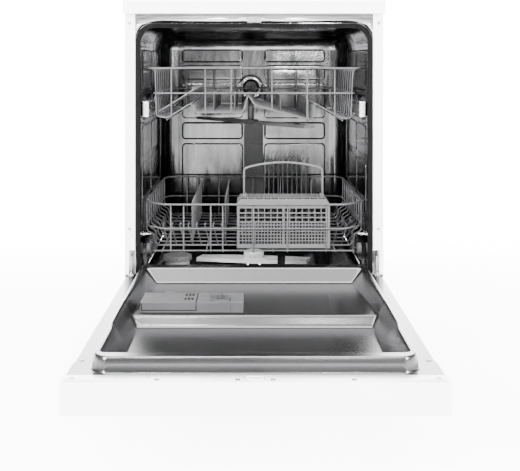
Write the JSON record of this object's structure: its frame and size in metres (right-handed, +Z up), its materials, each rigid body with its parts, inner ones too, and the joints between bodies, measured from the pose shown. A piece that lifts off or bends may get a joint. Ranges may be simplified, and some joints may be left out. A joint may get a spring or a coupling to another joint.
{
  "type": "dishwasher",
  "caption": "White freestanding dishwasher with its door lying open: wire baskets on rollers, cutlery basket, spray arms, sump and levelling feet.",
  "frame": {"origin": "on the floor, at the centre of the bottom of the box filled with the door lying open", "axes": "+X to the right seen from the front, +Y from the front to the back, +Z up"},
  "size_m": [0.6, 1.148, 0.85],
  "materials": {
    "white_laminate": "smooth white laminate over particle board",
    "white_enamel": "smooth baked white enamel",
    "white_trim": "smooth white plastic",
    "tub_steel": "fine brushed stainless sheet",
    "liner_steel": "brushed stainless door liner",
    "zinc_steel": "zinc-plated bracket steel",
    "chrome_screw": "bright plated screws",
    "seal_rubber": "matt black rubber",
    "grey_wire": "grey nylon-coated wire",
    "grey_plastic": "mid-grey moulded plastic",
    "light_plastic": "light grey moulded plastic",
    "dispenser_grey": "light grey moulding",
    "cap_blue": "grey-blue cap",
    "arm_steel": "bright spray arm sheet",
    "dark_plastic": "black moulded plastic",
    "base_plastic": "dark grey base moulding",
    "pump_housing": "dark pump moulding",
    "felt": "black bitumen felt",
    "spring_steel": "spring steel wire",
    "salt_plastic": "natural moulded plastic"
  },
  "bodies": {
    "cabinet": {"worktop": "white_laminate", "side_panel_left": "white_enamel", "side_panel_right": "white_enamel", "rear_panel": "zinc_steel", "base_pan": "base_plastic", "kick_plate": "white_enamel", "front_frame": "tub_steel", "tub_wrapper": "tub_steel", "tub_back": "tub_steel", "tub_floor": "tub_steel", "door_gasket": "seal_rubber", "sump": "dark_plastic", "circulation_pump": "pump_housing", "inlet_valve": "salt_plastic", "softener_tank": "salt_plastic", "mains_gland": "base_plastic", "feed_duct": "light_plastic", "rail_brackets": "grey_plastic", "basket_tracks": "tub_steel", "door_striker": "zinc_steel", "hinge_brackets": "zinc_steel", "door_springs": "spring_steel", "cabinet_screws": "chrome_screw"},
    "foot_fl": {"foot_front_left": "base_plastic"},
    "foot_fr": {"foot_front_right": "base_plastic"},
    "foot_rl": {"foot_rear_left": "base_plastic"},
    "foot_rr": {"foot_rear_right": "base_plastic"},
    "door": {"door_outer_panel": "white_enamel", "control_panel": "white_trim", "door_liner": "liner_steel", "door_insulation": "felt", "hinge_arms": "zinc_steel", "door_screws": "chrome_screw", "dispenser_body": "dispenser_grey", "door_latch": "light_plastic"},
    "powder_lid": {"dispenser_lid": "dispenser_grey"},
    "rinse_cap": {"rinse_aid_cap": "cap_blue"},
    "power": {"power_button": "white_trim"},
    "program": {"program_button": "white_trim"},
    "start": {"start_button": "white_trim"},
    "upper_rack": {"upper_basket": "grey_wire", "upper_basket_fittings": "grey_plastic", "upper_water_pipe": "grey_plastic"},
    "upper_front_rollers": {"upper_rollers_front": "light_plastic"},
    "upper_rear_rollers": {"upper_rollers_rear": "light_plastic"},
    "left_rail": {"upper_rail_left": "arm_steel"},
    "right_rail": {"upper_rail_right": "arm_steel"},
    "shelf": {"cup_shelf": "light_plastic"},
    "upper_arm": {"upper_spray_arm": "grey_plastic"},
    "lower_rack": {"lower_basket": "grey_wire", "lower_basket_fittings": "grey_plastic"},
    "lower_front_wheels": {"lower_wheels_front": "light_plastic"},
    "lower_rear_wheels": {"lower_wheels_rear": "light_plastic"},
    "tines_outer": {"fold_tines_outer": "grey_wire"},
    "tines_inner": {"fold_tines_inner": "grey_wire"},
    "caddy": {"cutlery_basket": "light_plastic"},
    "caddy_handle": {"cutlery_handle": "light_plastic"},
    "lower_arm": {"lower_spray_arm": "arm_steel"},
    "filter": {"filter_cylinder": "dark_plastic"},
    "salt_lid": {"salt_cap": "light_plastic"}
  },
  "joints": [
    {"name": "door_hinge", "type": "hinge", "parent": "cabinet", "child": "door", "pos_m": [0, 0.024, 0.216], "axis": [-1, 0, 0], "range_deg": [0, 90], "stiffness_Nm_per_rad": 12.6, "springref_deg": 90},
    {"name": "foot_screw_fl", "type": "slide", "parent": "cabinet", "child": "foot_fl", "axis": [0, 0, 1], "range_m": [-0.02, 0]},
    {"name": "foot_screw_fr", "type": "slide", "parent": "cabinet", "child": "foot_fr", "axis": [0, 0, 1], "range_m": [-0.02, 0]},
    {"name": "foot_screw_rl", "type": "slide", "parent": "cabinet", "child": "foot_rl", "axis": [0, 0, 1], "range_m": [-0.02, 0]},
    {"name": "foot_screw_rr", "type": "slide", "parent": "cabinet", "child": "foot_rr", "axis": [0, 0, 1], "range_m": [-0.02, 0]},
    {"name": "powder_lid_slide", "type": "slide", "parent": "door", "child": "powder_lid", "axis": [0, -1, 0], "range_m": [-0.056, 0]},
    {"name": "rinse_cap_twist", "type": "hinge", "parent": "door", "child": "rinse_cap", "pos_m": [-0.068, -0.201, 0.235], "axis": [0, 0, 1], "range_deg": [-90, 0]},
    {"name": "power_press", "type": "slide", "parent": "door", "child": "power", "axis": [0, 0, 1], "range_m": [0, 0.002], "stiffness_N_per_m": 700},
    {"name": "program_press", "type": "slide", "parent": "door", "child": "program", "axis": [0, 0, 1], "range_m": [0, 0.002], "stiffness_N_per_m": 700},
    {"name": "start_press", "type": "slide", "parent": "door", "child": "start", "axis": [0, 0, 1], "range_m": [0, 0.002], "stiffness_N_per_m": 700},
    {"name": "upper_rack_slide", "type": "slide", "parent": "cabinet", "child": "upper_rack", "axis": [0, 1, 0], "range_m": [-0.4, 0]},
    {"name": "left_rail_slide", "type": "slide", "parent": "cabinet", "child": "left_rail", "axis": [0, 1, 0], "range_m": [-0.2, 0]},
    {"name": "right_rail_slide", "type": "slide", "parent": "cabinet", "child": "right_rail", "axis": [0, 1, 0], "range_m": [-0.2, 0]},
    {"name": "upper_front_rollers_turn", "type": "hinge", "parent": "upper_rack", "child": "upper_front_rollers", "pos_m": [0, 0.3, 0.598], "axis": [1, 0, 0], "range_deg": [-5, 760]},
    {"name": "upper_rear_rollers_turn", "type": "hinge", "parent": "upper_rack", "child": "upper_rear_rollers", "pos_m": [0, 0.44, 0.598], "axis": [1, 0, 0], "range_deg": [-5, 760]},
    {"name": "shelf_fold", "type": "hinge", "parent": "upper_rack", "child": "shelf", "pos_m": [-0.22479, 0, 0.59327], "axis": [0, -1, 0], "range_deg": [0, 54]},
    {"name": "upper_arm_turn", "type": "hinge", "parent": "upper_rack", "child": "upper_arm", "pos_m": [-0.008, 0.276, 0.552], "axis": [0, 0, 1], "continuous": true},
    {"name": "lower_rack_slide", "type": "slide", "parent": "cabinet", "child": "lower_rack", "axis": [0, 1, 0], "range_m": [-0.48, 0]},
    {"name": "lower_front_wheels_turn", "type": "hinge", "parent": "lower_rack", "child": "lower_front_wheels", "pos_m": [0, 0.1144, 0.2593], "axis": [1, 0, 0], "range_deg": [-5, 2120]},
    {"name": "lower_rear_wheels_turn", "type": "hinge", "parent": "lower_rack", "child": "lower_rear_wheels", "pos_m": [0, 0.4406, 0.2593], "axis": [1, 0, 0], "range_deg": [-5, 2120]},
    {"name": "tines_outer_fold", "type": "hinge", "parent": "lower_rack", "child": "tines_outer", "pos_m": [-0.15, 0, 0.277], "axis": [0, 1, 0], "range_deg": [0, 85]},
    {"name": "tines_inner_fold", "type": "hinge", "parent": "lower_rack", "child": "tines_inner", "pos_m": [-0.072, 0, 0.277], "axis": [0, 1, 0], "range_deg": [0, 85]},
    {"name": "caddy_lift", "type": "slide", "parent": "lower_rack", "child": "caddy", "axis": [0, 0, 1], "range_m": [0, 0.06]},
    {"name": "caddy_handle_fold", "type": "hinge", "parent": "caddy", "child": "caddy_handle", "pos_m": [0, 0.0975, 0.389], "axis": [-1, 0, 0], "range_deg": [-78, 0]},
    {"name": "lower_arm_turn", "type": "hinge", "parent": "cabinet", "child": "lower_arm", "pos_m": [0, 0.286, 0.19], "axis": [0, 0, 1], "continuous": true},
    {"name": "filter_twist", "type": "hinge", "parent": "cabinet", "child": "filter", "pos_m": [0.067, 0.138, 0.176], "axis": [0, 0, 1], "range_deg": [0, 90]},
    {"name": "salt_lid_twist", "type": "hinge", "parent": "cabinet", "child": "salt_lid", "pos_m": [-0.194, 0.201, 0.215], "axis": [0, 0, 1], "range_deg": [0, 90]}
  ],
  "couplings": [
    {"joint": "left_rail_slide", "follows": "upper_rack_slide", "ratio": 0.5},
    {"joint": "right_rail_slide", "follows": "upper_rack_slide", "ratio": 0.5},
    {"joint": "upper_front_rollers_turn", "follows": "upper_rack_slide", "rad_per_m": -32.9},
    {"joint": "upper_rear_rollers_turn", "follows": "upper_rack_slide", "rad_per_m": -32.9},
    {"joint": "lower_front_wheels_turn", "follows": "lower_rack_slide", "rad_per_m": -76.9},
    {"joint": "lower_rear_wheels_turn", "follows": "lower_rack_slide", "rad_per_m": -76.9}
  ]
}
